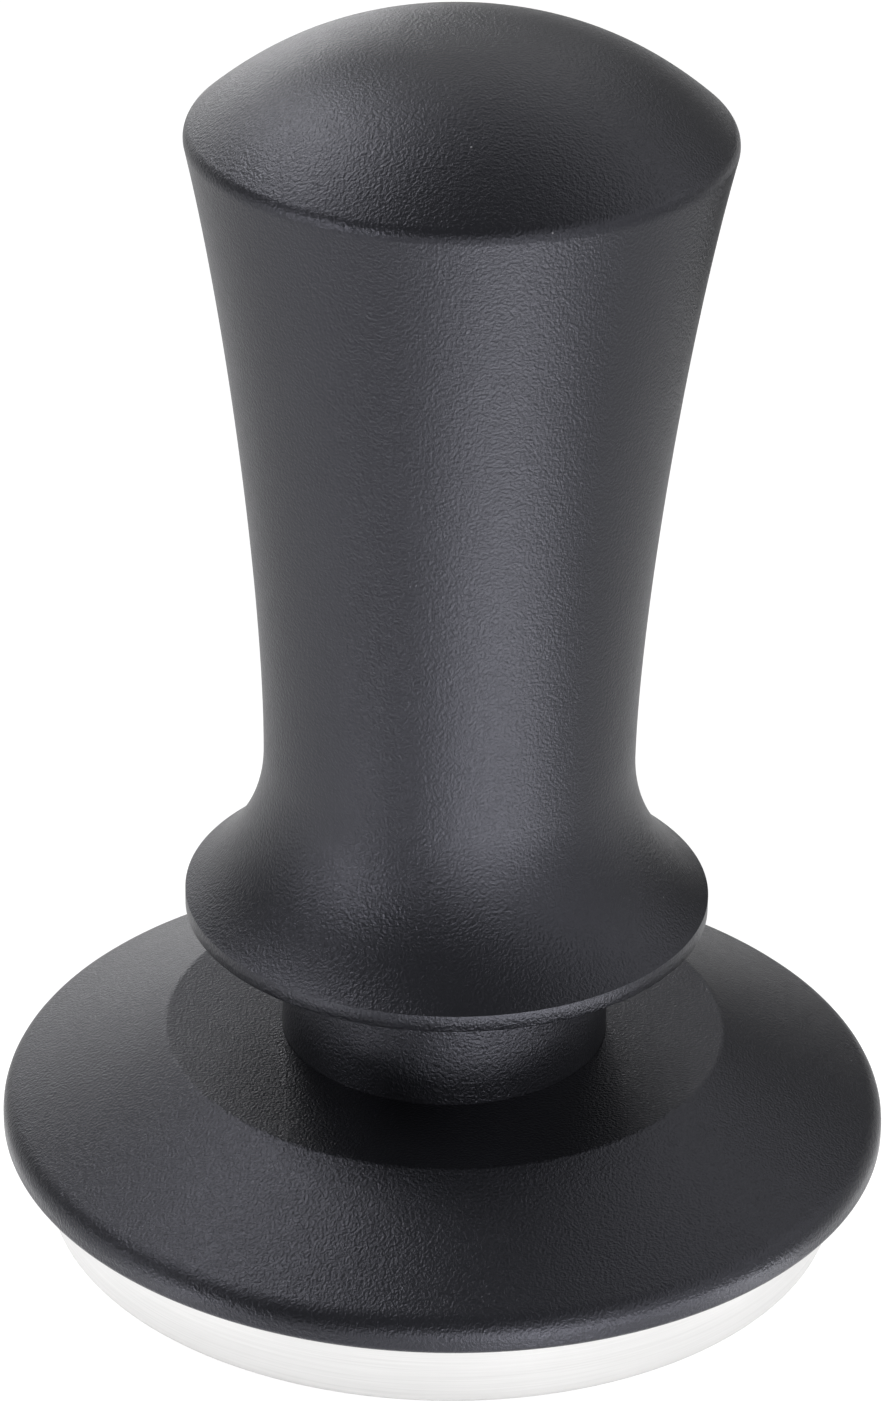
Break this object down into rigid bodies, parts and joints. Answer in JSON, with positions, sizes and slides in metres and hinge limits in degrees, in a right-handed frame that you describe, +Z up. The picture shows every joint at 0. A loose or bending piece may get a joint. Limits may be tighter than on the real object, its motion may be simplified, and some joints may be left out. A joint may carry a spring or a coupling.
{
  "type": "espresso tamper",
  "caption": "Self-levelling espresso tamper with a waisted black handle over a calibrated spring, a sliding conical levelling collar and a flat steel base.",
  "frame": {"origin": "centre of the steel base's flat bottom face, on the tamper's axis", "axes": "+Z up along the tamper's axis, from the base to the top of the handle; +X and +Y are free, because the tamper is round"},
  "size_m": [0.065, 0.065, 0.0909],
  "materials": {
    "black_anodised": "fine bead-blasted, black anodised",
    "satin_steel": "turned and finely brushed round the axis",
    "spring_steel": "oiled spring steel",
    "bronze": "machined bearing bronze",
    "white_polymer": "matt low-friction polymer",
    "black_rubber": "matt moulded rubber"
  },
  "bodies": {
    "base": {"tamper_base": "satin_steel", "spindle": "satin_steel", "lock_washer": "spring_steel", "bumper_ring": "black_rubber", "retaining_clip": "spring_steel", "piston_wear_ring": "white_polymer"},
    "return_spring_seat": {"return_spring_washer": "satin_steel", "collar_return_spring": "spring_steel"},
    "collar": {"levelling_collar": "black_anodised", "collar_hub": "black_anodised", "hub_guide_bush": "bronze", "hub_screw_1": "spring_steel", "hub_screw_2": "spring_steel", "hub_screw_3": "spring_steel", "hub_screw_4": "spring_steel"},
    "main_spring_seat": {"thrust_washer": "satin_steel", "main_spring": "spring_steel"},
    "handle": {"handle_shell": "black_anodised", "retaining_nut": "satin_steel", "handle_guide_bush": "bronze", "dust_seal": "white_polymer", "upper_spring_seat": "satin_steel", "preload_shim_1": "spring_steel", "preload_shim_2": "spring_steel"}
  },
  "joints": [
    {"name": "collar_spin", "type": "hinge", "parent": "base", "child": "return_spring_seat", "pos_m": [0, 0, 0.02], "axis": [0, 0, 1], "continuous": true},
    {"name": "collar_lift", "type": "slide", "parent": "return_spring_seat", "child": "collar", "axis": [0, 0, 1], "range_m": [0, 0.005], "stiffness_N_per_m": 600, "springref_m": -0.005, "deforming": ["collar_return_spring"]},
    {"name": "handle_spin", "type": "hinge", "parent": "base", "child": "main_spring_seat", "pos_m": [0, 0, 0.045], "axis": [0, 0, 1], "continuous": true},
    {"name": "handle_press", "type": "slide", "parent": "main_spring_seat", "child": "handle", "axis": [0, 0, -1], "range_m": [0, 0.0045], "stiffness_N_per_m": 8600, "springref_m": -0.008, "deforming": ["main_spring"]}
  ]
}
